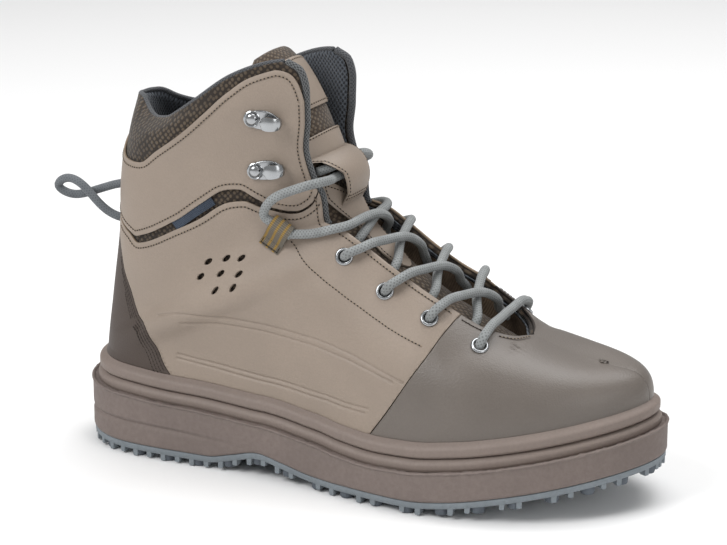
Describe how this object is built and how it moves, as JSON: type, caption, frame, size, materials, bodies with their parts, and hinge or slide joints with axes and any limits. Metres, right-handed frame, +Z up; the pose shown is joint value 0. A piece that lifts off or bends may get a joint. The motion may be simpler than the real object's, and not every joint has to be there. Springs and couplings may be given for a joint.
{
  "type": "wading boot",
  "caption": "Lace-up wading boot for the right foot: studded rubber sole, padded textile upper with leather overlays, tongue, eyelets, lace hooks, round laces and a heel pull loop.",
  "frame": {"origin": "on the floor, at the centre of the sole's box as seen from above", "axes": "+Z up; +X from the heel to the toe; +Y to the inner (medial) side of this right boot"},
  "size_m": [0.3448, 0.1172, 0.2189],
  "materials": {
    "outsole_rubber": "matt grey moulded rubber",
    "sole_brown": "matt brown moulded foam and rubber",
    "textile": "brown woven textile over padding",
    "taupe_leather": "satin taupe synthetic leather with a fine grain",
    "toe_leather": "satin grey brown leather with a fine grain",
    "counter_leather": "matt dark brown leather",
    "insole_cloth": "dark grey cloth",
    "eyelet_metal": "polished nickel",
    "hook_metal": "polished nickel",
    "webbing": "woven webbing",
    "lace_cord": "round grey braided cord"
  },
  "bodies": {
    "root": {"outsole": "outsole_rubber", "midsole": "sole_brown", "welt": "sole_brown", "rand": "sole_brown", "insole": "insole_cloth", "upper": "textile", "ankle_panel": "taupe_leather", "heel_counter": "counter_leather", "toe_cap": "toe_leather", "quarter_outer": "taupe_leather", "quarter_inner": "taupe_leather", "tongue": "textile", "tongue_strap": "taupe_leather", "eyelet_outer_1": "eyelet_metal", "eyelet_outer_2": "eyelet_metal", "eyelet_outer_3": "eyelet_metal", "eyelet_outer_4": "eyelet_metal", "hook_outer_1": "hook_metal", "hook_outer_2": "hook_metal", "keeper_outer": "webbing", "eyelet_inner_1": "eyelet_metal", "eyelet_inner_2": "eyelet_metal", "eyelet_inner_3": "eyelet_metal", "eyelet_inner_4": "eyelet_metal", "hook_inner_1": "hook_metal", "hook_inner_2": "hook_metal", "keeper_inner": "webbing", "lace_bar": "lace_cord", "lace_crossing_1": "lace_cord", "lace_crossing_2": "lace_cord", "lace_crossing_3": "lace_cord", "lace_crossing_4": "lace_cord", "lace_end_outer": "lace_cord", "lace_end_inner": "lace_cord", "pull_loop": "lace_cord"}
  },
  "joints": []
}
